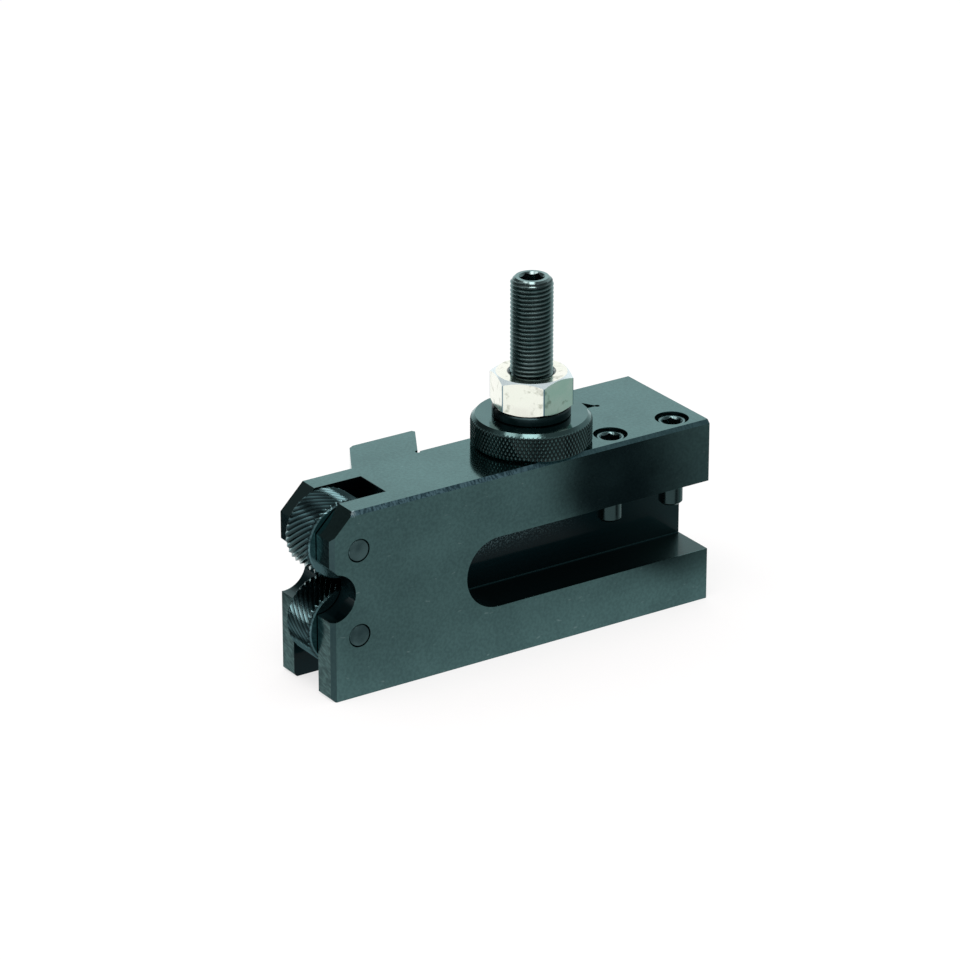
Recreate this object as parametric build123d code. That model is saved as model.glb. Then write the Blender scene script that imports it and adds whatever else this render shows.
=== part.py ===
from build123d import *
import math
import os

# Knurling tool holder. All sizes are millimetres.
# The pieces are drawn from one corner of the block: X runs from the work end to the tail, Y from the front
# face to the dovetail at the back, and Z up from the bottom face. At the end every piece is moved so that the
# origin lies under the middle of the whole holder, on its bottom face.

# Block
BODY_LENGTH = 116.0
BODY_HEIGHT = 50.8
HEAD_THICKNESS = 24.2
CORNER_BEVEL = 1.1
TOP_EDGE_BEVEL = 0.95
NOSE_CHAMFER = 6.7
TOE_CHAMFER = 0.8

# Dovetail at the back, and the lugs that form it
DOVETAIL_DEPTH = 12.5
DOVETAIL_CENTRE = 69.2
DOVETAIL_MOUTH = 41.5
DOVETAIL_ANGLE = 60.0
DOVETAIL_RELIEF_RADIUS = 0.7
LUG_TIP_WIDTH = 20.0
LUG_EDGE_BREAK = 1.0

# Fork that holds the wheels
NEAR_PRONG = 6.95
FORK_WIDTH = 11.76
FORK_DEPTH = 20.5

# Notch through both prongs, where the work runs between the wheels
NOTCH_RADIUS = 6.55
NOTCH_CENTRE_X = 0.55
NOTCH_LEAD_IN = 1.7

# Knurling wheels and their pins
PIN_DIAMETER = 6.35
PIN_END_CHAMFER = 0.45
PIN_FROM_NOSE = 8.1
WHEEL_RADIUS = 10.8
WHEEL_WIDTH = 11.2
WHEEL_GAP = 1.74
WHEEL_PAIR_ABOVE_MIDDLE = 3.1
WHEEL_EDGE_CHAMFER = 0.9
WHEEL_TEETH = 38
TOOTH_DEPTH = 0.62
TOOTH_HELIX = 38.0
TOOTH_STEPS = 5
WHEEL_CLEARANCE = 0.05

# Slot for the turning tool, with a round end and open at the tail
SLOT_FLOOR = 14.3
SLOT_HEIGHT = 19.4
SLOT_DEPTH = 12.9
SLOT_END_FROM_NOSE = 40.4

# Set screws that clamp the tool
SCREW_DIAMETER = 8.9
SCREW_LENGTH = 23.0
SCREW_TOP_BELOW_FACE = 0.7
SCREW_FROM_FRONT = 6.6
RIGHT_SCREW_FROM_TAIL = 7.4
SCREW_SPACING = 19.5
SCREW_TOP_CHAMFER = 1.0
DOG_POINT_DIAMETER = 6.35
DOG_POINT_LENGTH = 4.8
DOG_POINT_CHAMFER = 0.6
SCREW_SOCKET_ACROSS_FLATS = 4.76
SCREW_SOCKET_DEPTH = 4.5
SOCKET_MOUTH = 0.35
SCREW_CLEARANCE = 0.05

# Stud for the height of the holder
STUD_DIAMETER = 11.1
STUD_LENGTH = 60.0
STUD_ABOVE_FACE = 45.15
STUD_FROM_NOSE = 69.65
STUD_FROM_FRONT = 14.35
STUD_END_CHAMFER = 1.2
STUD_HOLE_SPARE = 1.0
STUD_SOCKET_ACROSS_FLATS = 5.56
STUD_SOCKET_DEPTH = 6.0
STUD_SOCKET_TURN = 26.4
THREAD_CLEARANCE = 0.05

# Thumb nut, lock washer and hex nut on the stud
THUMB_NUT_DIAMETER = 31.6
THUMB_NUT_THICKNESS = 7.7
THUMB_NUT_TOP_CHAMFER = 1.25
THUMB_NUT_FOOT_CHAMFER = 0.7
WASHER_DIAMETER = 20.4
WASHER_BORE = 11.7
WASHER_THICKNESS = 2.4
WASHER_EDGE_BREAK = 0.3
WASHER_SPLIT = 1.0
WASHER_SPLIT_DIRECTION = 238.0
WASHER_SPLIT_SLANT = 25.0
HEX_NUT_ACROSS_FLATS = 19.05
HEX_NUT_HEIGHT = 9.2
HEX_NUT_FACE_RATIO = 0.97
HEX_NUT_CHAMFER_ANGLE = 30.0
HEX_NUT_TURN = 13.0
NUT_COUNTERSINK = 0.5

# Places that follow from the sizes above
BODY_DEPTH = HEAD_THICKNESS + DOVETAIL_DEPTH
PIN_RADIUS = PIN_DIAMETER / 2
WHEEL_CENTRES_APART = 2 * WHEEL_RADIUS + WHEEL_GAP
WHEEL_PAIR_HEIGHT = BODY_HEIGHT / 2 + WHEEL_PAIR_ABOVE_MIDDLE
UPPER_WHEEL_HEIGHT = WHEEL_PAIR_HEIGHT + WHEEL_CENTRES_APART / 2
LOWER_WHEEL_HEIGHT = WHEEL_PAIR_HEIGHT - WHEEL_CENTRES_APART / 2
WHEEL_MIDDLE_Y = NEAR_PRONG + FORK_WIDTH / 2
SLOT_RADIUS = SLOT_HEIGHT / 2
SLOT_ROOF = SLOT_FLOOR + SLOT_HEIGHT
STUD_HOLE_DEPTH = STUD_LENGTH - STUD_ABOVE_FACE + STUD_HOLE_SPARE
THUMB_NUT_TOP = BODY_HEIGHT + THUMB_NUT_THICKNESS
WASHER_TOP = THUMB_NUT_TOP + WASHER_THICKNESS
RIGHT_SCREW_FROM_NOSE = BODY_LENGTH - RIGHT_SCREW_FROM_TAIL
LEFT_SCREW_FROM_NOSE = RIGHT_SCREW_FROM_NOSE - SCREW_SPACING
PAST = 5.0


def box(low, high):
    """A box from its lowest to its highest corner."""
    size = [b - a for a, b in zip(low, high)]
    return Pos(*low) * Box(*size, align=(Align.MIN, Align.MIN, Align.MIN))


def upright_cylinder(x, y, low, high, radius):
    """A cylinder along Z between two heights."""
    return Pos(x, y, low) * Cylinder(radius, high - low, align=(Align.CENTER, Align.CENTER, Align.MIN))


def cross_cylinder(x, z, near, far, radius):
    """A cylinder along Y, from the front towards the back."""
    plane = Plane(origin=(x, near, z), x_dir=(1, 0, 0), z_dir=(0, 1, 0))
    return plane * Cylinder(radius, far - near, align=(Align.CENTER, Align.CENTER, Align.MIN))


def turned(points):
    """A solid turned about the Z axis from (radius, height) points."""
    outline = Plane.XZ * make_face(Polyline(*points, close=True))
    return revolve(outline, Axis.Z)


def hexagon_prism(across_flats, height):
    """A hexagonal prism standing on the XY plane, one corner towards +X."""
    return extrude(RegularPolygon(across_flats / 2, 6, major_radius=False), height)


def key_socket(across_flats, depth, top):
    """What is cut out of a screw's top for a hexagon key: the socket and its coned mouth."""
    mouth = across_flats / 2 / math.cos(math.pi / 6) + SOCKET_MOUTH / 2
    cone = Pos(0, 0, top - mouth) * Cone(0, mouth, mouth, align=(Align.CENTER, Align.CENTER, Align.MIN))
    return Pos(0, 0, top - depth) * hexagon_prism(across_flats, depth) + cone


def plan_outline():
    """The block seen from above: the head, the two lugs and the dovetail between them."""
    lean = DOVETAIL_DEPTH * math.tan(math.radians(90 - DOVETAIL_ANGLE))
    floor = HEAD_THICKNESS
    left_mouth = DOVETAIL_CENTRE - DOVETAIL_MOUTH / 2
    right_mouth = DOVETAIL_CENTRE + DOVETAIL_MOUTH / 2
    lug_tip = left_mouth - LUG_TIP_WIDTH
    points = [
        (0, CORNER_BEVEL),
        (CORNER_BEVEL, 0),
        (BODY_LENGTH, 0),
        (BODY_LENGTH, BODY_DEPTH),
        (right_mouth, BODY_DEPTH),
        (right_mouth + lean, floor),
        (left_mouth - lean, floor),
        (left_mouth, BODY_DEPTH),
        (lug_tip, BODY_DEPTH),
        (lug_tip - lean, floor),
        (0, floor),
    ]
    outline = make_face(Polyline(*points, close=True))
    back_corners = outline.vertices().group_by(Axis.Y)[-1].sort_by(Axis.X)
    outline = chamfer(back_corners[:-1], LUG_EDGE_BREAK)
    for corner in (left_mouth - lean, right_mouth + lean):
        outline -= Pos(corner, floor) * Circle(DOVETAIL_RELIEF_RADIUS)
    return outline


def wedge(points, near, far):
    """A prism along Y from (x, z) points, from the near to the far side."""
    plane = Plane(origin=(0, far, 0), x_dir=(1, 0, 0), z_dir=(0, -1, 0))
    return plane * extrude(make_face(Polyline(*points, close=True)), far - near)


def nose_cuts():
    """What is cut off the work end: the big top chamfer and the small one at the toe."""
    top = BODY_HEIGHT
    nose = [(-PAST, top - NOSE_CHAMFER - PAST), (NOSE_CHAMFER + PAST, top + PAST), (-PAST, top + PAST)]
    toe = [(-PAST, TOE_CHAMFER + PAST), (TOE_CHAMFER + PAST, -PAST), (-PAST, -PAST)]
    return [wedge(points, -PAST, BODY_DEPTH + PAST) for points in (nose, toe)]


def top_edge_cut():
    """The bevel along the front edge of the top face."""
    bevel = TOP_EDGE_BEVEL
    plane = Plane(origin=(-PAST, 0, BODY_HEIGHT), x_dir=(0, 1, 0), z_dir=(1, 0, 0))
    points = [(-PAST, -bevel - PAST), (bevel + PAST, PAST), (-PAST, PAST)]
    return plane * extrude(make_face(Polyline(*points, close=True)), BODY_LENGTH + 2 * PAST)


def work_notch():
    """The round notch through both prongs, with a sloping lead-in above it."""
    past = HEAD_THICKNESS + PAST
    notch = cross_cylinder(NOTCH_CENTRE_X, WHEEL_PAIR_HEIGHT, -PAST, past, NOTCH_RADIUS)
    top = WHEEL_PAIR_HEIGHT + math.sqrt(NOTCH_RADIUS**2 - NOTCH_CENTRE_X**2)
    lead = NOTCH_LEAD_IN
    points = [(-PAST, top - lead), (-PAST, top + lead + PAST), (0, top + lead), (lead, top), (lead, top - lead)]
    return notch + wedge(points, -PAST, past)


def tool_slot():
    """The slot in the front face: a round end towards the nose, open at the tail."""
    middle = SLOT_FLOOR + SLOT_RADIUS
    start = SLOT_END_FROM_NOSE + SLOT_RADIUS
    round_end = cross_cylinder(start, middle, -PAST, SLOT_DEPTH, SLOT_RADIUS)
    run = box((start, -PAST, SLOT_FLOOR), (BODY_LENGTH + PAST, SLOT_DEPTH, SLOT_ROOF))
    return round_end + run


def screw_places():
    return [(LEFT_SCREW_FROM_NOSE, SCREW_FROM_FRONT), (RIGHT_SCREW_FROM_NOSE, SCREW_FROM_FRONT)]


def holder_body():
    body = extrude(plan_outline(), BODY_HEIGHT)
    for cut in nose_cuts():
        body -= cut
    body -= top_edge_cut()
    body -= box((-PAST, NEAR_PRONG, -PAST), (FORK_DEPTH, NEAR_PRONG + FORK_WIDTH, BODY_HEIGHT + PAST))
    body -= work_notch()
    body -= tool_slot()
    for height in (UPPER_WHEEL_HEIGHT, LOWER_WHEEL_HEIGHT):
        body -= cross_cylinder(PIN_FROM_NOSE, height, -PAST, HEAD_THICKNESS + PAST, PIN_RADIUS)
    hole_radius = SCREW_DIAMETER / 2 + SCREW_CLEARANCE
    for x, y in screw_places():
        body -= upright_cylinder(x, y, SLOT_ROOF - PAST, BODY_HEIGHT + PAST, hole_radius)
    hole_floor = BODY_HEIGHT - STUD_HOLE_DEPTH
    body -= upright_cylinder(STUD_FROM_NOSE, STUD_FROM_FRONT, hole_floor, BODY_HEIGHT + PAST, STUD_DIAMETER / 2)
    return body


def tooth_rows(hand):
    """Points round the wheel, a tooth's tip and a valley in turn, in rows from its one end to the other.

    Each row is turned a little further than the last, so the teeth wind in short straight steps. At both ends tip
    and valley meet, which is the chamfer.
    """
    edge = WHEEL_EDGE_CHAMFER
    rim = WHEEL_RADIUS - edge
    step = (WHEEL_WIDTH - 2 * edge) / TOOTH_STEPS
    places = [(0, rim, rim)]
    places += [(edge + i * step, WHEEL_RADIUS, WHEEL_RADIUS - TOOTH_DEPTH) for i in range(TOOTH_STEPS + 1)]
    places += [(WHEEL_WIDTH, rim, rim)]
    rows = []
    for along, tip, valley in places:
        lead = along * math.tan(math.radians(TOOTH_HELIX)) / WHEEL_RADIUS
        row = []
        for i in range(2 * WHEEL_TEETH):
            radius = valley if i % 2 else tip
            turn = hand * (lead + math.pi * i / WHEEL_TEETH)
            row.append(Vector(radius * math.cos(turn), radius * math.sin(turn), along))
        rows.append(row)
    return rows


def flat_face(*points):
    return Face(Wire.make_polygon(points, close=True))


def faceted_solid(rows):
    """A solid with flat ends over its first and last rows, and triangles between the rows."""
    faces = [flat_face(*rows[0]), flat_face(*rows[-1])]
    for low, high in zip(rows, rows[1:]):
        for i in range(len(low)):
            j = (i + 1) % len(low)
            faces.append(flat_face(low[i], low[j], high[j]))
            faces.append(flat_face(low[i], high[j], high[i]))
    return Solid(Shell(faces))


def knurl_wheel(height, hand):
    """A wheel with V teeth that wind round it, right-handed for hand 1 and left-handed for hand -1."""
    bore = upright_cylinder(0, 0, -PAST, WHEEL_WIDTH + PAST, PIN_RADIUS + WHEEL_CLEARANCE)
    near = WHEEL_MIDDLE_Y - WHEEL_WIDTH / 2
    plane = Plane(origin=(PIN_FROM_NOSE, near, height), x_dir=(1, 0, 0), z_dir=(0, 1, 0))
    return plane * (faceted_solid(tooth_rows(hand)) - bore)


def wheel_pin(height):
    """A pin pressed through both prongs, flush at each end."""
    pin = cross_cylinder(PIN_FROM_NOSE, height, 0, HEAD_THICKNESS, PIN_RADIUS)
    return chamfer(pin.edges().filter_by(GeomType.CIRCLE), PIN_END_CHAMFER)


def height_stud():
    radius = STUD_DIAMETER / 2
    end = STUD_END_CHAMFER
    low = BODY_HEIGHT + STUD_ABOVE_FACE - STUD_LENGTH
    stud = turned([
        (0, 0),
        (radius - end, 0),
        (radius, end),
        (radius, STUD_LENGTH - end),
        (radius - end, STUD_LENGTH),
        (0, STUD_LENGTH),
    ])
    stud -= Rot(0, 0, STUD_SOCKET_TURN) * key_socket(STUD_SOCKET_ACROSS_FLATS, STUD_SOCKET_DEPTH, STUD_LENGTH)
    return Pos(STUD_FROM_NOSE, STUD_FROM_FRONT, low) * stud


def thumb_nut():
    radius = THUMB_NUT_DIAMETER / 2
    bore = STUD_DIAMETER / 2 + THREAD_CLEARANCE
    top = THUMB_NUT_TOP_CHAMFER
    foot = THUMB_NUT_FOOT_CHAMFER
    sink = NUT_COUNTERSINK
    nut = turned([
        (bore + sink, 0),
        (radius - foot, 0),
        (radius, foot),
        (radius, THUMB_NUT_THICKNESS - top),
        (radius - top, THUMB_NUT_THICKNESS),
        (bore, THUMB_NUT_THICKNESS),
        (bore, sink),
    ])
    return Pos(STUD_FROM_NOSE, STUD_FROM_FRONT, BODY_HEIGHT) * nut


def lock_washer():
    """A flat spring ring with its outer edges broken and one slanting split."""
    outer = WASHER_DIAMETER / 2
    inner = WASHER_BORE / 2
    ring = Cylinder(outer, WASHER_THICKNESS) - Cylinder(inner, WASHER_THICKNESS + PAST)
    outer_rims = ring.edges().filter_by(GeomType.CIRCLE).sort_by(SortBy.RADIUS)[-2:]
    ring = chamfer(outer_rims, WASHER_EDGE_BREAK)
    split = Pos((outer + inner) / 2, 0, 0) * Rot(WASHER_SPLIT_SLANT, 0, 0) * Box(outer, WASHER_SPLIT, 3 * PAST)
    washer = Rot(0, 0, WASHER_SPLIT_DIRECTION) * (ring - split)
    return Pos(STUD_FROM_NOSE, STUD_FROM_FRONT, THUMB_NUT_TOP + WASHER_THICKNESS / 2) * washer


def hex_nut():
    face = HEX_NUT_FACE_RATIO * HEX_NUT_ACROSS_FLATS / 2
    slope = math.tan(math.radians(HEX_NUT_CHAMFER_ANGLE))
    wide = HEX_NUT_ACROSS_FLATS
    drop = (wide - face) * slope
    bore = STUD_DIAMETER / 2 + THREAD_CLEARANCE
    sink = NUT_COUNTERSINK
    blank = turned([
        (bore + sink, 0),
        (face, 0),
        (wide, drop),
        (wide, HEX_NUT_HEIGHT - drop),
        (face, HEX_NUT_HEIGHT),
        (bore + sink, HEX_NUT_HEIGHT),
        (bore, HEX_NUT_HEIGHT - sink),
        (bore, sink),
    ])
    nut = hexagon_prism(HEX_NUT_ACROSS_FLATS, HEX_NUT_HEIGHT) & blank
    return Pos(STUD_FROM_NOSE, STUD_FROM_FRONT, WASHER_TOP) * Rot(0, 0, HEX_NUT_TURN) * nut


def set_screw(x, y):
    """A socket set screw with a dog point, its head a little under the top face."""
    radius = SCREW_DIAMETER / 2
    point = DOG_POINT_DIAMETER / 2
    tip = DOG_POINT_CHAMFER
    head = SCREW_TOP_CHAMFER
    step = radius - point
    screw = turned([
        (0, 0),
        (point - tip, 0),
        (point, tip),
        (point, DOG_POINT_LENGTH),
        (radius, DOG_POINT_LENGTH + step),
        (radius, SCREW_LENGTH - head),
        (radius - head, SCREW_LENGTH),
        (0, SCREW_LENGTH),
    ])
    screw -= key_socket(SCREW_SOCKET_ACROSS_FLATS, SCREW_SOCKET_DEPTH, SCREW_LENGTH)
    return Pos(x, y, BODY_HEIGHT - SCREW_TOP_BELOW_FACE - SCREW_LENGTH) * screw


def origin_shift():
    """From the block's corner to the middle of the whole holder's footprint."""
    low_x = min(0, PIN_FROM_NOSE - WHEEL_RADIUS)
    low_y = min(0, STUD_FROM_FRONT - THUMB_NUT_DIAMETER / 2)
    return Pos(-(low_x + BODY_LENGTH) / 2, -(low_y + BODY_DEPTH) / 2, 0)


def pieces():
    left, right = screw_places()
    return {
        "holder_body": holder_body(),
        "upper_knurl_wheel": knurl_wheel(UPPER_WHEEL_HEIGHT, -1),
        "lower_knurl_wheel": knurl_wheel(LOWER_WHEEL_HEIGHT, 1),
        "upper_wheel_pin": wheel_pin(UPPER_WHEEL_HEIGHT),
        "lower_wheel_pin": wheel_pin(LOWER_WHEEL_HEIGHT),
        "height_stud": height_stud(),
        "thumb_nut": thumb_nut(),
        "lock_washer": lock_washer(),
        "hex_nut": hex_nut(),
        "left_set_screw": set_screw(*left),
        "right_set_screw": set_screw(*right),
    }


os.makedirs("parts", exist_ok=True)
for name, piece in pieces().items():
    export_step(origin_shift() * piece, f"parts/{name}.step")
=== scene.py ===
import math

import bmesh
import bpy
from mathutils import Matrix, Vector


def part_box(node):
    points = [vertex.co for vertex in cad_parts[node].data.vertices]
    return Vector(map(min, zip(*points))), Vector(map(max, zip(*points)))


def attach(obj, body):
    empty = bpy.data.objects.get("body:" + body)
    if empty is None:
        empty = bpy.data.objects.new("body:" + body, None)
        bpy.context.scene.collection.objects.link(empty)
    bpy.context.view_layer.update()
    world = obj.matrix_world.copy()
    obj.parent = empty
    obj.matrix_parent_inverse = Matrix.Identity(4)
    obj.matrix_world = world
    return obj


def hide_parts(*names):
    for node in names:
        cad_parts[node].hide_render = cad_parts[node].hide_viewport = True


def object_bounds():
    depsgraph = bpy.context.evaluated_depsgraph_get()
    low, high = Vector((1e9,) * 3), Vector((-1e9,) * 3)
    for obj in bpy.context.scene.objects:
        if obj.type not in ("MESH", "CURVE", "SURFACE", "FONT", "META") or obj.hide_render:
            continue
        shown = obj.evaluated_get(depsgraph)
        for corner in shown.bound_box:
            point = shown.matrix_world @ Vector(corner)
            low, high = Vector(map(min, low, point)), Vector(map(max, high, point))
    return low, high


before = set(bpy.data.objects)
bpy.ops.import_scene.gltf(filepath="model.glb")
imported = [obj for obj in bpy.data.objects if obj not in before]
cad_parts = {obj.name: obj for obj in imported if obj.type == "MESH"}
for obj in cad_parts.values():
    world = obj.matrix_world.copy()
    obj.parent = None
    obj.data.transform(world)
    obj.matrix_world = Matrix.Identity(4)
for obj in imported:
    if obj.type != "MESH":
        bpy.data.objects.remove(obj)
cad_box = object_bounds()

# Sizes are metres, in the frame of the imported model: X runs from the knurling wheels to the tail, Y from the
# slotted front face to the dovetail, and Z up along the stud.
MM = 0.001

# Stud. Sides are the points in one turn.
STUD_PITCH = 1.15 * MM
STUD_THREAD_DEPTH = 0.66 * MM
STUD_END_CHAMFER = 1.2 * MM
STUD_SOCKET_ACROSS_FLATS = 5.56 * MM
STUD_SOCKET_DEPTH = 6.0 * MM
STUD_SOCKET_TURN = math.radians(26.4)
STUD_SIDES = 96

# Set screws
SCREW_PITCH = 1.5875 * MM
SCREW_THREAD_DEPTH = 0.85 * MM
SCREW_TOP_CHAMFER = 1.0 * MM
SCREW_SOCKET_ACROSS_FLATS = 4.76 * MM
SCREW_SOCKET_DEPTH = 4.5 * MM
SCREW_SIDES = 72
DOG_POINT_RADIUS = 3.175 * MM
DOG_POINT_LENGTH = 4.8 * MM
DOG_POINT_CHAMFER = 0.6 * MM

# Sockets and threads. The section is in shares of the pitch, and how deep it is there in shares of the depth.
SOCKET_MOUTH = 0.35 * MM
SOCKET_POINT = 1.2 * MM
THREAD_SECTION = ((0.0, 1.0), (0.1, 1.0), (0.32, 0.45), (0.5, 0.0), (0.6, 0.0), (0.82, 0.55))

# Thumb nut and washer. Steps are the points from one knurl line to the next, and the gain leaves its diamonds
# a small flat top.
KNURL_COUNT = 88
KNURL_STEPS = 6
KNURL_ANGLE = math.radians(30)
KNURL_DEPTH = 0.36 * MM
KNURL_GAIN = 1.25
NUT_TOP_CHAMFER = 1.25 * MM
NUT_FOOT_CHAMFER = 0.7 * MM
NUT_BORE_RADIUS = 5.6 * MM
NUT_COUNTERSINK = 0.5 * MM
WASHER_TURN = math.radians(-72)

# Knurling wheels. The flanks are the share of a tooth's pitch that isn't its narrow valley.
WHEEL_TEETH = 38
TOOTH_STEPS = 12
TOOTH_DEPTH = 0.62 * MM
TOOTH_FLANKS = 0.92
TOOTH_HELIX = math.radians(38)
WHEEL_EDGE_CHAMFER = 0.9 * MM
WHEEL_EDGE_STEPS = 4
WHEEL_MIDDLE_STEPS = 18
WHEEL_BORE_RADIUS = 3.225 * MM
BORE_CHAMFER = 0.4 * MM

# Corners, in mm, of boxes round the tool slot, the slot between the fork's prongs, the work notch, the line
# where the tool slot's wall meets its floor, and the worn corner at the nose end of the top bevel
TOOL_SLOT_BOX = ((-20.0, -17.5, 14.1), (60.0, -4.5, 33.9))
FORK_BOX = ((-57.0, -10.72, -1.0), (-36.0, 1.12, 60.0))
NOTCH_BOX = ((-57.0, -17.5, 21.8), (-49.0, 6.45, 35.2))
SLOT_CORNER_BOX = ((-20.0, -5.2, 13.9), (60.0, -4.4, 14.5))
WORN_CORNER_BOX = ((-50.5, -17.8, 49.6), (-49.2, -16.5, 51.0))

# Where the block's look changes, from and to. Along X the painted shade in the slot grows paler, the painted
# glints under its roof end and the bevel's wear lessens. Along Y the far prong starts. Along Z the painted
# glints start.
SLOT_TAIL_X = (0.03, 0.055)
SLOT_GLINTS_X = (-0.01, 0.035)
BEVEL_WEAR_X = (-0.01, 0.025)
FAR_PRONG_Y = (-0.008, 0.0)
SLOT_GLINTS_Z = (0.021, 0.033)

# Which way the faces look, and the turn of the cutter's marks on the nose
UP = (0.0, 0.0, 1.0)
NOSE = (-1.0, 0.0, 0.0)
NOSE_SLOPE = (-0.7071, 0.0, 0.7071)
NOSE_CORNER = (-0.7071, -0.7071, 0.0)
TOP_BEVEL = (0.0, -0.7071, 0.7071)
CUTTER_SLANT = math.radians(-16)

# Colours of the black oxide. A pair is the darkest and the lightest. For the slot, these are at the round end
# and at the tail.
GROUND_COLORS = ((0.057, 0.124, 0.126, 1), (0.09, 0.188, 0.188, 1))
GROUND_SPECK = (0.3, 0.42, 0.42, 1)
NOSE_COLORS = ((0.04, 0.09, 0.093, 1), (0.125, 0.235, 0.23, 1))
# Painted light: the far prong's nose chamfer is paler than the near one's, which faces the same way.
FAR_SLOPE_LIGHT_COLOR = (0.12, 0.22, 0.225, 1)
# Painted light and shade in the slots: near black for their shade, paler at the tail and on the floor, a
# painted highlight line where wall meets floor, and painted glints under the roof.
SLOT_WALL_SHADE_COLORS = ((0.003, 0.017, 0.021, 1), (0.012, 0.034, 0.038, 1))
SLOT_FLOOR_SHADE_COLORS = ((0.015, 0.04, 0.044, 1), (0.03, 0.065, 0.067, 1))
SLOT_CORNER_HIGHLIGHT = (0.05, 0.11, 0.12, 1)
SLOT_GLINT = (0.3, 0.5, 0.54, 1)
BEVEL_COLORS = ((0.05, 0.12, 0.15, 1), (0.18, 0.35, 0.42, 1))
PLAIN_BEVEL_COLOR = (0.07, 0.16, 0.175, 1)
CORNER_COLORS = ((0.033, 0.075, 0.082, 1), (0.045, 0.095, 0.1, 1))
BARE_STEEL = (0.55, 0.75, 0.8, 1)
OIL_TINT = (0.75, 0.9, 0.9, 1.0)
OIL_ROUGHNESS = 0.08

# Roughness of the block's faces
GROUND_ROUGHNESS = (0.1, 0.15)
NOSE_ROUGHNESS = 0.22
BEVEL_ROUGHNESS = 0.35
SLOT_ROUGHNESS = 0.4

# What lies below a screw's point height has this share of the dark colour, and fades to it over this height.
POINT_SHARE = 0.5
POINT_FADE = 0.2 * MM

# Colours of the zinc, and the distances from the nut's axis at which the painted shade of its bore ends and
# its dark-painted edges start
ZINC_COLORS = ((0.91, 0.94, 0.84, 1), (0.97, 0.98, 0.89, 1))
ZINC_STAIN = (0.4, 0.42, 0.34, 1)
ZINC_BORE_SHADE = (0.015, 0.03, 0.03, 1)
ZINC_EDGE = (0.16, 0.26, 0.3, 1)
ZINC_CHAMFER = (0.68, 0.81, 0.84, 1)
ZINC_BORE_END = (0.0061, 0.0065)
ZINC_EDGE_START = (0.01083, 0.01093)

# Floor
FLOOR_RADIUS = 3.0
FLOOR_SIDES = 96
FLOOR_GAP = 0.02 * MM

# Where the painted light that the metal mirrors of the floor changes, from and to. Along Y it rises close in
# front of the block, up to its front, and at the back. Towards the left it rises, and later falls off. A
# painted spot at the back left is dark.
CLOSE_Y = (-0.045, -0.018)
FRONT_Y = -0.017
BACK_Y = (0.02, 0.1)
LEFT = (-0.87, -0.5, 0.0)
LEFT_RISE = (0.1, 0.14)
LEFT_FALL = (0.2, 0.29)
DARK_SPOT = (-0.145, 0.105, 0.0)
DARK_SPOT_EDGE = (0.083, 0.099)
DARK_SPOT_COLOR = (0.035, 0.045, 0.05, 1)

# The painted dim part of the floor at the right front, laid out on the block's front face, which mirrors it.
# The rise is how far up the face a spot is seen, for each metre along Y from the face. The shift is how much
# nearer to the nose it is seen, for each metre up the face. Below a height, the part's edge slopes towards the
# tail.
FRONT_FACE_TO_ORIGIN = 0.0176
MIRROR_RISE = -0.513
MIRROR_SHIFT = 1.293
DIM_EDGE_HEIGHT = 0.035
DIM_EDGE_SLOPE = 1.18
DIM_EDGE = (0.004, 0.024)
DIM_FOOT = (0.003, 0.014)
DIM_TOP = (0.06, 0.09)
DIM_TO_GREY = (0.04, 0.075)
GREY_TO_TAIL = (0.08, 0.1)
DIM_COLOR = (0.032, 0.037, 0.042, 1)
DIM_GREY = (0.33, 0.33, 0.33, 1)
DIM_TAIL_COLOR = (0.22, 0.35, 0.33, 1)

# Lobes of the world that the metal mirrors: a direction, and the degrees from it at which a lobe starts to
# fade and is gone
BACKDROP = ((0.508, 0.766, 0.393), 24, 40)
DIM_CORNER = ((-0.393, 0.766, 0.508), 14, 30)
DIM_SIDE = ((-1.0, -0.05, -0.05), 12, 26)

# Lamps: a name, a place, a diameter and a power
LAMPS = (
    ("overhead_front", (-0.22, -0.33, 0.97), 0.4, 2.2),
    ("overhead_left", (-0.42, 0.08, 0.97), 0.34, 1.1),
)
LAMP_TARGET = (0, 0, 0.05)
LAMP_COLOR = (1.0, 0.86, 0.84)

# The photograph's camera
CAMERA_PLACE = (-0.62038, -0.934115, 0.52115)
CAMERA_WAY = (0.50831, 0.76616, -0.39322)
CAMERA_LENS = 177.78
CAMERA_SENSOR = 36.0

# Edges that bend more than this are sharp, points this close are one, and a point farther than this below the
# grooves of a thread or knurl isn't part of it.
SHARP = math.radians(32)
SAME_POINT = 1e-7
GROOVE_SLACK = 0.02 * MM


def box_of(node):
    low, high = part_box(node)
    return Vector(low), Vector(high)


# Meshes


def grid_faces(bm, rows):
    """Faces between closed rows of points, each row with as many points as the next."""
    verts = [[bm.verts.new(p) for p in row] for row in rows]
    count = len(verts[0])
    for low, high in zip(verts, verts[1:]):
        for i in range(count):
            j = (i + 1) % count
            bm.faces.new((low[i], low[j], high[j], high[i]))


def crest_share(centre, axis, root, tip):
    """How near a point is to a thread's or knurl's crests: 0 at the root, 1 at the tip or off the teeth."""
    def share(point):
        away = point - centre
        away[axis] = 0.0
        if away.length < root - GROOVE_SLACK:
            return 1.0
        return min(max((away.length - root) / (tip - root), 0.0), 1.0)
    return share


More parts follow.
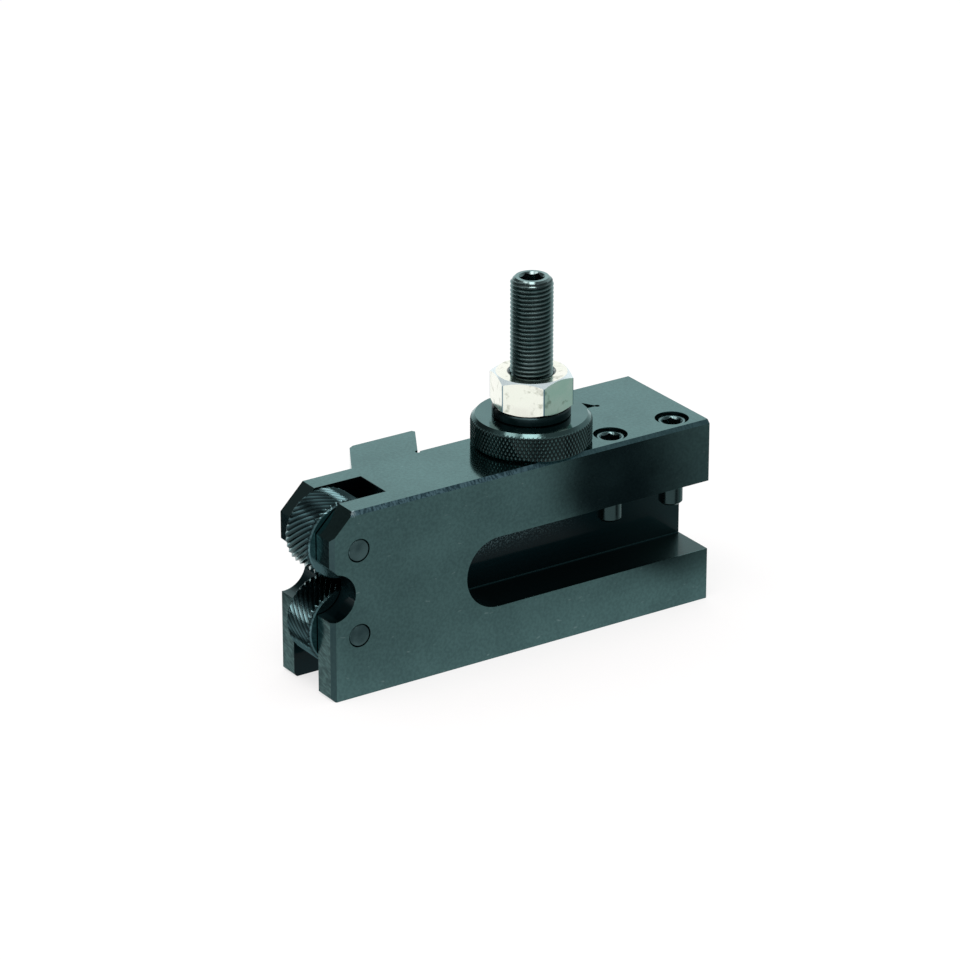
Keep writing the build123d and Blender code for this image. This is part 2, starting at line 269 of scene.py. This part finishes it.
def finish_mesh(bm, name, material, crest):
    """Merges what coincides, marks the sharp edges, stores the crests and makes the object."""
    bmesh.ops.remove_doubles(bm, verts=bm.verts, dist=SAME_POINT)
    bmesh.ops.dissolve_degenerate(bm, edges=bm.edges, dist=SAME_POINT)
    bmesh.ops.recalc_face_normals(bm, faces=bm.faces)
    for face in bm.faces:
        face.smooth = True
    for edge in bm.edges:
        edge.smooth = len(edge.link_faces) == 2 and edge.calc_face_angle(0) < SHARP
    layer = bm.verts.layers.float.new("crest")
    for vert in bm.verts:
        vert[layer] = crest(vert.co)
    mesh = bpy.data.meshes.new(name)
    bm.to_mesh(mesh)
    bm.free()
    return add_object(name, mesh, material)


def add_object(name, mesh, material):
    mesh.materials.append(material)
    made = bpy.data.objects.new(name, mesh)
    bpy.context.scene.collection.objects.link(made)
    return made


def turns_from(first, count):
    return [first + 2 * math.pi * i / count for i in range(count)]


def circle_row(centre, radius, height, turns):
    """Points of a circle about an upright axis."""
    return [Vector((centre.x + radius * math.cos(t), centre.y + radius * math.sin(t), height)) for t in turns]


def helical_thread(bm, centre, turns, low, high, radius, pitch, depth, low_end, high_end):
    """A right-hand V thread between two heights, cut by a cone at each end."""
    count = len(turns)
    laps = int((high - low) / pitch) + 3
    rows = []
    for lap in range(laps):
        for share, cut in THREAD_SECTION:
            start = low + (lap - 1 + share) * pitch
            row = []
            for i, turn in enumerate(turns):
                z = min(max(start + pitch * i / count, low), high)
                r = min(radius - depth * cut, radius - low_end + z - low, radius - high_end + high - z)
                row.append(bm.verts.new((centre.x + r * math.cos(turn), centre.y + r * math.sin(turn), z)))
            rows.append(row)
    for k in range(len(rows) - 1):
        for i in range(count - 1):
            bm.faces.new((rows[k][i], rows[k][i + 1], rows[k + 1][i + 1], rows[k + 1][i]))
        up = k + len(THREAD_SECTION)
        if up + 1 < len(rows):
            bm.faces.new((rows[k][-1], rows[up][0], rows[up + 1][0], rows[k + 1][-1]))


def socket_rows(centre, turns, first_turn, across_flats, depth, top):
    """Rows of points down a hexagon socket with a coned mouth, from its rim to the drill point."""
    mouth = across_flats / 2 / math.cos(math.pi / 6) + SOCKET_MOUTH / 2
    reach = []
    for turn in turns:
        off = (turn - first_turn) % (math.pi / 3) - math.pi / 6
        reach.append(across_flats / 2 / math.cos(off))

    def hexagon(height_of):
        return [
            Vector((centre.x + r * math.cos(t), centre.y + r * math.sin(t), height_of(r)))
            for r, t in zip(reach, turns)
        ]

    floor = top - depth
    return [
        circle_row(centre, mouth, top, turns),
        hexagon(lambda r: top - (mouth - r)),
        hexagon(lambda r: floor),
        circle_row(centre, across_flats / 3, floor, turns),
        circle_row(centre, 0.0, floor - SOCKET_POINT, turns),
    ]


def make_stud(material):
    low, high = box_of("height_stud")
    centre = (low + high) / 2
    radius = (high.x - low.x) / 2
    end = STUD_END_CHAMFER
    turns = turns_from(STUD_SOCKET_TURN, STUD_SIDES)
    bm = bmesh.new()
    helical_thread(bm, centre, turns, low.z, high.z, radius, STUD_PITCH, STUD_THREAD_DEPTH, end, end)
    socket = socket_rows(centre, turns, STUD_SOCKET_TURN, STUD_SOCKET_ACROSS_FLATS, STUD_SOCKET_DEPTH, high.z)
    grid_faces(bm, [circle_row(centre, radius - end, high.z, turns)] + socket)
    grid_faces(bm, [circle_row(centre, 0.0, low.z, turns), circle_row(centre, radius - end, low.z, turns)])
    crest = crest_share(centre, 2, radius - STUD_THREAD_DEPTH, radius)
    return finish_mesh(bm, "height_stud_threaded", material, crest)


def make_set_screw(node, material):
    low, high = box_of(node)
    centre = (low + high) / 2
    radius = (high.x - low.x) / 2
    turns = turns_from(0.0, SCREW_SIDES)
    shoulder = low.z + DOG_POINT_LENGTH
    tip = DOG_POINT_CHAMFER
    bm = bmesh.new()
    helical_thread(bm, centre, turns, shoulder, high.z, radius, SCREW_PITCH, SCREW_THREAD_DEPTH,
                   radius - DOG_POINT_RADIUS, SCREW_TOP_CHAMFER)
    socket = socket_rows(centre, turns, 0.0, SCREW_SOCKET_ACROSS_FLATS, SCREW_SOCKET_DEPTH, high.z)
    grid_faces(bm, [circle_row(centre, radius - SCREW_TOP_CHAMFER, high.z, turns)] + socket)
    grid_faces(bm, [
        circle_row(centre, 0.0, low.z, turns),
        circle_row(centre, DOG_POINT_RADIUS - tip, low.z, turns),
        circle_row(centre, DOG_POINT_RADIUS, low.z + tip, turns),
        circle_row(centre, DOG_POINT_RADIUS, shoulder, turns),
    ])
    crest = crest_share(centre, 2, radius - SCREW_THREAD_DEPTH, radius)
    return finish_mesh(bm, node + "_threaded", material, crest)


def triangle_wave(value):
    """0 at whole numbers and 1 half way between them."""
    return 1 - abs(2 * (value % 1) - 1)


def make_thumb_nut(material):
    """The round nut with its diamond knurl, chamfered above and below."""
    low, high = box_of("thumb_nut")
    centre = (low + high) / 2
    radius = (high.x - low.x) / 2
    turns = turns_from(0.0, KNURL_COUNT * KNURL_STEPS)
    width = 2 * math.pi * radius / KNURL_COUNT
    step = width / KNURL_STEPS / math.tan(KNURL_ANGLE)
    inner = NUT_BORE_RADIUS
    sink = NUT_COUNTERSINK
    rows = [
        circle_row(centre, inner + sink, low.z, turns),
        circle_row(centre, radius - NUT_FOOT_CHAMFER - KNURL_DEPTH, low.z, turns),
    ]
    heights = [low.z + i * step for i in range(int((high.z - low.z) / step) + 1)] + [high.z]
    for z in heights:
        limit = min(radius - NUT_FOOT_CHAMFER + z - low.z, radius - NUT_TOP_CHAMFER + high.z - z)
        climb = (z - low.z) * math.tan(KNURL_ANGLE) / width
        row = []
        for i, turn in enumerate(turns):
            along = i / KNURL_STEPS
            ridge = min(triangle_wave(along + climb), triangle_wave(along - climb))
            r = min(radius - KNURL_DEPTH * (1 - min(1.0, KNURL_GAIN * ridge)), limit)
            row.append(Vector((centre.x + r * math.cos(turn), centre.y + r * math.sin(turn), z)))
        rows.append(row)
    rows += [
        circle_row(centre, inner + sink, high.z, turns),
        circle_row(centre, inner, high.z - sink, turns),
        circle_row(centre, inner, low.z + sink, turns),
        circle_row(centre, inner + sink, low.z, turns),
    ]
    bm = bmesh.new()
    grid_faces(bm, rows)
    crest = crest_share(centre, 2, radius - KNURL_DEPTH, radius)
    return finish_mesh(bm, "thumb_nut_knurled", material, crest)


def make_turned_washer(material):
    """The split washer, turned about the stud so that its split faces left."""
    axis = sum(box_of("height_stud"), Vector()) / 2
    turn = Matrix.Rotation(WASHER_TURN, 4, "Z")
    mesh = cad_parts["lock_washer"].data.copy()
    mesh.transform(Matrix.Translation(axis) @ turn @ Matrix.Translation(-axis))
    mesh.materials.clear()
    return add_object("lock_washer_turned", mesh, material)


def tooth_height(share):
    """A tooth's height across its pitch: a sharp tip at 0 and 1, and a narrow valley half way."""
    return 1 - min(triangle_wave(share) / TOOTH_FLANKS, 1.0)


def make_wheel(node, hand, material):
    """A knurling wheel with winding teeth, right-handed for hand 1, and chamfered ends."""
    low, high = box_of(node)
    centre = (low + high) / 2
    radius = (high.z - low.z) / 2
    width = high.y - low.y
    rim = radius - WHEEL_EDGE_CHAMFER
    root = radius - TOOTH_DEPTH
    bore = WHEEL_BORE_RADIUS
    count = WHEEL_TEETH * TOOTH_STEPS
    flat = width - 2 * WHEEL_EDGE_CHAMFER
    edge = [WHEEL_EDGE_CHAMFER * i / WHEEL_EDGE_STEPS for i in range(WHEEL_EDGE_STEPS + 1)]
    middle = [WHEEL_EDGE_CHAMFER + flat * i / WHEEL_MIDDLE_STEPS for i in range(1, WHEEL_MIDDLE_STEPS)]
    stations = edge + middle + [width - along for along in reversed(edge)]

    def ring(along, radius_of):
        lead = along * math.tan(TOOTH_HELIX) / radius
        row = []
        for i in range(count):
            r = radius_of(i / TOOTH_STEPS)
            turn = hand * (lead + 2 * math.pi * i / count)
            row.append(Vector((centre.x + r * math.cos(turn), low.y + along, centre.z - r * math.sin(turn))))
        return row

    rows = [ring(0.0, lambda share: bore + BORE_CHAMFER)]
    for along in stations:
        limit = rim + min(along, width - along)
        rows.append(ring(along, lambda share: min(root + TOOTH_DEPTH * tooth_height(share), limit)))
    rows += [
        ring(width, lambda share: bore + BORE_CHAMFER),
        ring(width - BORE_CHAMFER, lambda share: bore),
        ring(BORE_CHAMFER, lambda share: bore),
        ring(0.0, lambda share: bore + BORE_CHAMFER),
    ]
    bm = bmesh.new()
    grid_faces(bm, rows)
    return finish_mesh(bm, node + "_toothed", material, crest_share(centre, 1, root, radius))


# Shader nodes. A value is a number, a tuple or another node's output.


class Graph:
    def __init__(self, tree):
        self.tree = tree
        tree.nodes.clear()

    def node(self, kind, inputs=None, **settings):
        made = self.tree.nodes.new("ShaderNode" + kind)
        for key, value in settings.items():
            setattr(made, key, value)
        for key, value in (inputs or {}).items():
            self.feed(made.inputs[key], value)
        return made

    def feed(self, socket, value):
        if isinstance(value, bpy.types.NodeSocket):
            self.tree.links.new(value, socket)
        else:
            socket.default_value = value

    def math(self, operation, a, b):
        return self.node("Math", {0: a, 1: b}, operation=operation).outputs["Value"]

    def product(self, first, *others):
        for other in others:
            first = self.math("MULTIPLY", first, other)
        return first

    def largest(self, first, *others):
        for other in others:
            first = self.math("MAXIMUM", first, other)
        return first

    def vector(self, operation, a, b=(0.0, 0.0, 0.0)):
        made = self.node("VectorMath", {0: a, 1: b}, operation=operation)
        return made.outputs["Value" if operation in ("DISTANCE", "DOT_PRODUCT") else "Vector"]

    def split(self, vector):
        """The outputs X, Y and Z of a vector."""
        return self.node("SeparateXYZ", {"Vector": vector}).outputs

    def remap(self, value, start, end, low=0.0, high=1.0):
        """From low at start to high at end, smoothly."""
        inputs = {"Value": value, "From Min": start, "From Max": end, "To Min": low, "To Max": high}
        return self.node("MapRange", inputs, interpolation_type="SMOOTHSTEP").outputs["Result"]

    def blend(self, share, a, b):
        """Colour a where the share is 0, and b where it is 1."""
        made = self.node("Mix", data_type="RGBA")
        self.feed(made.inputs[0], share)
        self.feed(made.inputs[6], a)
        self.feed(made.inputs[7], b)
        return made.outputs[2]

    def noise(self, place, scale, detail=3.0, stretch=(1.0, 1.0, 1.0)):
        moved = self.vector("MULTIPLY", place, stretch)
        return self.node("TexNoise", {"Vector": moved, "Scale": scale, "Detail": detail}).outputs["Fac"]

    def inside(self, place, corners):
        """1 inside a box whose corners are given in mm, and 0 outside."""
        low, high = (Vector(corner) * MM for corner in corners)
        off = self.vector("ABSOLUTE", self.vector("SUBTRACT", place, tuple((low + high) / 2)))
        past = self.split(self.vector("SUBTRACT", off, tuple((high - low) / 2)))
        return self.math("LESS_THAN", self.largest(past["X"], past["Y"], past["Z"]), 0.0)

    def facing(self, normal, direction, least=0.97):
        """1 where the surface faces the direction."""
        return self.math("GREATER_THAN", self.vector("DOT_PRODUCT", normal, direction), least)


def grey(value):
    return (value, value, value, 1.0)


def new_material(name):
    material = bpy.data.materials.new(name)
    material.use_nodes = True
    graph = Graph(material.node_tree)
    output = graph.node("OutputMaterial")
    shader = graph.node("BsdfPrincipled", {"Metallic": 1.0})
    graph.feed(output.inputs["Surface"], shader.outputs["BSDF"])
    place = graph.node("TexCoord")
    return material, graph, shader, place.outputs["Object"], place.outputs["Normal"]


def bumped(graph, shader, height, depth):
    """A bump whose depth is in mm."""
    bump = graph.node("Bump", {"Height": height, "Strength": 1.0, "Distance": depth * MM})
    graph.feed(shader.inputs["Normal"], bump.outputs["Normal"])


def oiled(shader, weight):
    """The thin oily film of black oxide: it greys the grazing reflections only a little."""
    shader.inputs["Specular Tint"].default_value = OIL_TINT
    shader.inputs["Coat Weight"].default_value = weight
    shader.inputs["Coat Roughness"].default_value = OIL_ROUGHNESS


def ground_color(graph, place, patch):
    """Ground faces: cloudy, with sparse pale specks."""
    specks = graph.remap(graph.noise(place, 1100.0, 2.0, stretch=(0.35, 1.0, 1.0)), 0.7, 0.78)
    return graph.blend(graph.product(specks, 0.3), graph.blend(patch, *GROUND_COLORS), GROUND_SPECK)


def cutter_marks(graph, place):
    """Marks that a cutter left slanting on the nose."""
    turned = graph.node("Mapping", {"Vector": place, "Rotation": (CUTTER_SLANT, 0.0, 0.0)})
    marks = graph.noise(turned.outputs["Vector"], 2300.0, 3.0, stretch=(1.0, 0.2, 1.0))
    return graph.remap(marks, 0.36, 0.68)


def slot_painted_light(graph, place, normal, across):
    """The slots are painted nearly black as shade, and paler at the tail and on the floor as painted light.
    Painted glints lie under the tool slot's roof at its round end, and a painted highlight runs along the
    corner of its wall and floor.
    """
    specks = graph.product(
        graph.remap(graph.noise(place, 2300.0, 3.0), 0.47, 0.66),
        graph.remap(across["Z"], *SLOT_GLINTS_Z),
        graph.remap(across["X"], *SLOT_GLINTS_X, 1.0, 0.0),
        graph.inside(place, TOOL_SLOT_BOX),
    )
    tail = graph.remap(across["X"], *SLOT_TAIL_X)
    color = graph.blend(specks, graph.blend(tail, *SLOT_WALL_SHADE_COLORS), SLOT_GLINT)
    color = graph.blend(graph.facing(normal, UP), color, graph.blend(tail, *SLOT_FLOOR_SHADE_COLORS))
    return graph.blend(graph.inside(place, SLOT_CORNER_BOX), color, SLOT_CORNER_HIGHLIGHT)


def bevel_color(graph, place, across):
    """The bevel along the top is worn across its length, and least near the tail."""
    worn = graph.remap(graph.noise(place, 1500.0, 4.0, stretch=(1.0, 0.5, 0.5)), 0.38, 0.62)
    plain = graph.product(graph.remap(across["X"], *BEVEL_WEAR_X), 0.8)
    return graph.blend(plain, graph.blend(worn, *BEVEL_COLORS), PLAIN_BEVEL_COLOR)


def black_oxide(name):
    """Ground and blackened steel: glossy faces, a rough bevel, a milled nose and matt slots."""
    material, graph, shader, place, normal = new_material(name)
    oiled(shader, 0.25)
    across = graph.split(place)
    cloud = graph.noise(place, 70.0, 6.0)
    grain = graph.noise(place, 1500.0, 4.0)
    fine = graph.remap(graph.noise(place, 1200.0, 5.0), 0.35, 0.65)
    patch = graph.product(graph.math("ADD", graph.remap(cloud, 0.3, 0.7), fine), 0.5)
    slanting = cutter_marks(graph, place)
    nose = graph.facing(normal, NOSE)
    bevel = graph.facing(normal, TOP_BEVEL)
    corner = graph.facing(normal, NOSE_CORNER)
    in_slot = graph.largest(*(graph.inside(place, box) for box in (TOOL_SLOT_BOX, FORK_BOX, NOTCH_BOX)))

    # The far prong's nose chamfer is painted a little paler than the near one's, as painted light. The bevel
    # along the top is worn bare at its nose end, and the one up the nose is darker.
    color = ground_color(graph, place, patch)
    color = graph.blend(nose, color, graph.blend(slanting, *NOSE_COLORS))
    far_slope_light = graph.product(graph.facing(normal, NOSE_SLOPE), graph.remap(across["Y"], *FAR_PRONG_Y))
    color = graph.blend(far_slope_light, color, FAR_SLOPE_LIGHT_COLOR)
    # The slots get painted shade, painted light and painted glints.
    color = graph.blend(in_slot, color, slot_painted_light(graph, place, normal, across))
    color = graph.blend(bevel, color, bevel_color(graph, place, across))
    bare = graph.product(graph.inside(place, WORN_CORNER_BOX), graph.remap(grain, 0.4, 0.6))
    color = graph.blend(bare, color, BARE_STEEL)
    color = graph.blend(corner, color, graph.blend(patch, *CORNER_COLORS))
    graph.feed(shader.inputs["Base Color"], color)

    rough = graph.largest(
        graph.remap(cloud, 0.3, 0.7, *GROUND_ROUGHNESS),
        graph.product(in_slot, SLOT_ROUGHNESS),
        graph.product(graph.largest(bevel, corner), BEVEL_ROUGHNESS),
        graph.product(nose, NOSE_ROUGHNESS),
    )
    graph.feed(shader.inputs["Roughness"], rough)

    # Grinding runs along the block. The slots and the bevel are the roughest.
    along = graph.noise(place, 1800.0, 2.0, stretch=(0.06, 1.0, 1.0))
    marks = graph.node("Mix", {0: nose, 2: along, 3: graph.product(slanting, 2.0)}).outputs[0]
    deep = graph.math("ADD", 0.12, graph.largest(in_slot, graph.product(bevel, 0.3)))
    bumped(graph, shader, graph.product(graph.math("ADD", marks, grain), deep), 0.02)
    return material


def steel(name, dark, light, roughness, grain=900.0, depth=0.004, film=0.0, groove=1.0, point=0.0):
    """A metal whose colour and gloss wander a little, with fine tool marks.

    Its grooves have the share groove of the dark colour as painted shade, and what lies below the height point
    is dimmer too.
    """
    material, graph, shader, place, _ = new_material(name)
    if film:
        oiled(shader, film)
    cloud = graph.remap(graph.noise(place, 160.0, 6.0), 0.35, 0.65)
    color = graph.blend(cloud, (*dark, 1), (*light, 1))
    # Painted shade: the grooves are darkened by how near each point is to the crests.
    if groove < 1.0:
        crest = graph.node("Attribute", attribute_name="crest").outputs["Fac"]
        groove_shade = tuple(groove * c for c in dark)
        color = graph.blend(graph.remap(crest, 0.25, 1.0), (*groove_shade, 1), color)
    if point:
        dim = tuple(POINT_SHARE * c for c in dark)
        color = graph.blend(graph.remap(graph.split(place)["Z"], point - POINT_FADE, point), (*dim, 1), color)
    graph.feed(shader.inputs["Base Color"], color)
    graph.feed(shader.inputs["Roughness"], graph.remap(cloud, 0.0, 1.0, roughness - 0.04, roughness + 0.06))
    bumped(graph, shader, graph.noise(place, grain, 3.0), depth)
    return material


def zinc(name, axis):
    """Bright zinc plate, cloudy and a little stained, with painted shade in the bore about the axis."""
    material, graph, shader, place, normal = new_material(name)
    cloud = graph.remap(graph.noise(place, 160.0, 6.0), 0.35, 0.65)
    stain = graph.remap(graph.noise(place, 420.0, 5.0), 0.55, 0.7)
    flat = graph.vector("MULTIPLY", place, (1.0, 1.0, 0.0))
    away = graph.vector("DISTANCE", flat, (axis.x, axis.y, 0.0))
    color = graph.blend(graph.product(stain, 0.7), graph.blend(cloud, *ZINC_COLORS), ZINC_STAIN)
    # Painted shade about the axis, in the bore.
    color = graph.blend(graph.remap(away, *ZINC_BORE_END), ZINC_BORE_SHADE, color)

    # Its upright edges are painted dark blue, and its top chamfer is dull and a little blue.
    upward = graph.split(normal)["Z"]
    edge = graph.product(graph.remap(away, *ZINC_EDGE_START), graph.remap(upward, 0.2, 0.5, 1.0, 0.0))
    color = graph.blend(edge, color, ZINC_EDGE)
    chamfer = graph.product(graph.remap(upward, 0.6, 0.8), graph.remap(upward, 0.9, 0.97, 1.0, 0.0))
    color = graph.blend(chamfer, color, ZINC_CHAMFER)
    graph.feed(shader.inputs["Base Color"], color)
    graph.feed(shader.inputs["Metallic"], graph.remap(chamfer, 0.0, 1.0, 1.0, 0.4))
    graph.feed(shader.inputs["Roughness"], graph.remap(cloud, 0.0, 1.0, 0.13, 0.2))
    bumped(graph, shader, graph.noise(place, 900.0, 3.0), 0.008)
    return material


BLACK_OXIDE = black_oxide("black_oxide")
# The groove shares darken the grooves of the knurl, the wheels' teeth and the threads as painted shade.
NUT_OXIDE = steel("nut_oxide", (0.068, 0.14, 0.142), (0.078, 0.158, 0.158), 0.14, film=0.25, groove=0.14)
WHEEL_STEEL = steel("wheel_steel", (0.074, 0.16, 0.174), (0.108, 0.212, 0.23), 0.18,
                    grain=2400.0, depth=0.018, film=0.15, groove=0.27)
PIN_STEEL = steel("pin_steel", (0.03, 0.065, 0.07), (0.08, 0.145, 0.15), 0.22, film=0.2)
THREAD_STEEL = steel("thread_steel", (0.14, 0.23, 0.23), (0.22, 0.33, 0.33), 0.22, film=0.25, groove=0.35)
SCREW_STEEL = steel("screw_steel", (0.085, 0.165, 0.17), (0.13, 0.23, 0.235), 0.24, film=0.25, groove=0.35,
                    point=box_of("left_set_screw")[0].z + DOG_POINT_LENGTH)
# The washer is painted nearly black as painted shade, for the gap between the nut and the thumb nut.
WASHER_SHADE_STEEL = steel("washer_steel", (0.016, 0.034, 0.037), (0.03, 0.055, 0.06), 0.3)
ZINC = zinc("zinc", sum(box_of("hex_nut"), Vector()) / 2)


# Pieces


def repaint(node, material):
    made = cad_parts[node]
    made.data.materials.clear()
    made.data.materials.append(material)


repaint("holder_body", BLACK_OXIDE)
for node in ("upper_wheel_pin", "lower_wheel_pin"):
    repaint(node, PIN_STEEL)
repaint("hex_nut", ZINC)

for side, hand in (("upper", -1), ("lower", 1)):
    wheel = make_wheel(side + "_knurl_wheel", hand, WHEEL_STEEL)
    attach(wheel, side + "_wheel")
    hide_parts(side + "_knurl_wheel")

stud = make_stud(THREAD_STEEL)
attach(stud, "holder")
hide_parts("height_stud")

thumb_nut = make_thumb_nut(NUT_OXIDE)
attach(thumb_nut, "height_nut")
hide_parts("thumb_nut")

washer = make_turned_washer(WASHER_SHADE_STEEL)
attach(washer, "washer")
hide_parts("lock_washer")

for side in ("left", "right"):
    screw = make_set_screw(side + "_set_screw", SCREW_STEEL)
    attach(screw, side + "_screw")
    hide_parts(side + "_set_screw")


# Camera, floor, world and lamps


def aim(made, place, way):
    """Puts a camera or lamp in its place, looking the given way."""
    made.location = place
    made.rotation_euler = way.to_track_quat("-Z", "Y").to_euler()
    bpy.context.scene.collection.objects.link(made)


def make_camera():
    data = bpy.data.cameras.new("camera")
    data.lens = CAMERA_LENS
    data.sensor_width = CAMERA_SENSOR
    data.clip_start = 0.05
    data.clip_end = 20.0
    camera = bpy.data.objects.new("camera", data)
    aim(camera, CAMERA_PLACE, Vector(CAMERA_WAY))
    bpy.context.scene.camera = camera


make_camera()


def lit_share(graph, place, across):
    """How brightly the metal mirrors the floor: more at the left, at the back and close to the block.

    The light falls off again far out at the left.
    """
    close = graph.product(graph.remap(across["Y"], *CLOSE_Y, 0.0, 0.14),
                          graph.math("LESS_THAN", across["Y"], FRONT_Y))
    left = graph.vector("DOT_PRODUCT", place, LEFT)
    lit = graph.largest(graph.remap(left, *LEFT_RISE), graph.remap(across["Y"], *BACK_Y, 0.5, 1.0))
    level = graph.largest(graph.math("ADD", close, 0.5), lit)
    return graph.math("MINIMUM", level, graph.remap(left, *LEFT_FALL, 1.0, 0.15))


def dim_part(graph, across):
    """The share and the colour of the painted dim floor at the right front.

    It is laid out by what the block's front face mirrors in the photograph: how high above the floor, and how
    far along the face.
    """
    height = graph.product(graph.math("ADD", across["Y"], FRONT_FACE_TO_ORIGIN), MIRROR_RISE)
    along = graph.math("SUBTRACT", across["X"], graph.product(height, MIRROR_SHIFT))
    lower = graph.largest(graph.math("SUBTRACT", DIM_EDGE_HEIGHT, height), 0.0)
    edge = graph.math("SUBTRACT", along, graph.product(lower, DIM_EDGE_SLOPE))
    share = graph.product(graph.remap(edge, *DIM_EDGE), graph.remap(height, *DIM_FOOT),
                          graph.remap(height, *DIM_TOP, 1.0, 0.0))
    color = graph.blend(graph.remap(along, *DIM_TO_GREY), DIM_COLOR, DIM_GREY)
    return share, graph.blend(graph.remap(along, *GREY_TO_TAIL), color, DIM_TAIL_COLOR)


def floor_paper():
    """White paper that keeps its shadows; the metal mirrors it as a glow painted unevenly light and dark."""
    material = bpy.data.materials.new("floor_paper")
    material.use_nodes = True
    graph = Graph(material.node_tree)
    output = graph.node("OutputMaterial")
    place = graph.node("TexCoord").outputs["Object"]
    ray = graph.node("LightPath").outputs
    across = graph.split(place)
    # Painted reflections: this tone glows only to mirrored rays, and is white to the camera.
    tone = graph.blend(lit_share(graph, place, across), grey(0.0), grey(1.0))
    share, dim = dim_part(graph, across)
    tone = graph.blend(share, tone, dim)
    away = graph.vector("DISTANCE", place, DARK_SPOT)
    tone = graph.blend(graph.remap(away, *DARK_SPOT_EDGE), DARK_SPOT_COLOR, tone)
    tone = graph.blend(ray["Is Camera Ray"], tone, grey(1.0))
    paper = graph.node("BsdfDiffuse", {"Color": grey(0.95)})
    glow = graph.node("Emission", {"Color": tone})
    mirrored = graph.largest(ray["Is Glossy Ray"], ray["Is Transmission Ray"])
    mix = graph.node("MixShader", {"Fac": graph.largest(mirrored, graph.product(ray["Is Camera Ray"], 0.7))})
    graph.feed(mix.inputs[1], paper.outputs["BSDF"])
    graph.feed(mix.inputs[2], glow.outputs["Emission"])
    graph.feed(output.inputs["Surface"], mix.outputs["Shader"])
    return material


def make_floor():
    bm = bmesh.new()
    bmesh.ops.create_circle(bm, cap_ends=True, segments=FLOOR_SIDES, radius=FLOOR_RADIUS)
    mesh = bpy.data.meshes.new("floor")
    bm.to_mesh(mesh)
    bm.free()
    floor = add_object("floor", mesh, floor_paper())
    floor.location.z = cad_box[0][2] - FLOOR_GAP


make_floor()


def make_world():
    """White to the camera, and an even soft light for dull surfaces.

    Metal mirrors a studio with a bright backdrop, a dim corner, a dim left side and a dim ceiling.
    """
    world = bpy.data.worlds.new("studio")
    bpy.context.scene.world = world
    world.use_nodes = True
    graph = Graph(world.node_tree)
    output = graph.node("OutputWorld")
    ray = graph.node("LightPath").outputs
    way = graph.node("TexCoord").outputs["Generated"]
    level = graph.remap(graph.split(way)["Z"], 0.45, 0.75, 0.55, 0.2)

    def lobe(direction, inner, outer):
        along = graph.vector("DOT_PRODUCT", way, tuple(Vector(direction).normalized()))
        return graph.remap(along, math.cos(math.radians(outer)), math.cos(math.radians(inner)))

    tone = graph.blend(lobe(*BACKDROP), level, grey(1.0))
    tone = graph.blend(graph.largest(lobe(*DIM_CORNER), lobe(*DIM_SIDE)), tone, grey(0.07))
    tone = graph.blend(ray["Is Diffuse Ray"], tone, grey(1.0))
    tone = graph.blend(ray["Is Camera Ray"], tone, grey(1.0))
    graph.feed(output.inputs["Surface"], graph.node("Background", {"Color": tone}).outputs["Background"])


make_world()


def area_light(name, place, size, power):
    data = bpy.data.lights.new(name, "AREA")
    data.shape = "DISK"
    data.size = size
    data.energy = power
    data.color = LAMP_COLOR
    aim(bpy.data.objects.new(name, data), place, Vector(LAMP_TARGET) - Vector(place))


for lamp in LAMPS:
    area_light(*lamp)

bpy.context.scene.view_settings.view_transform = "Standard"
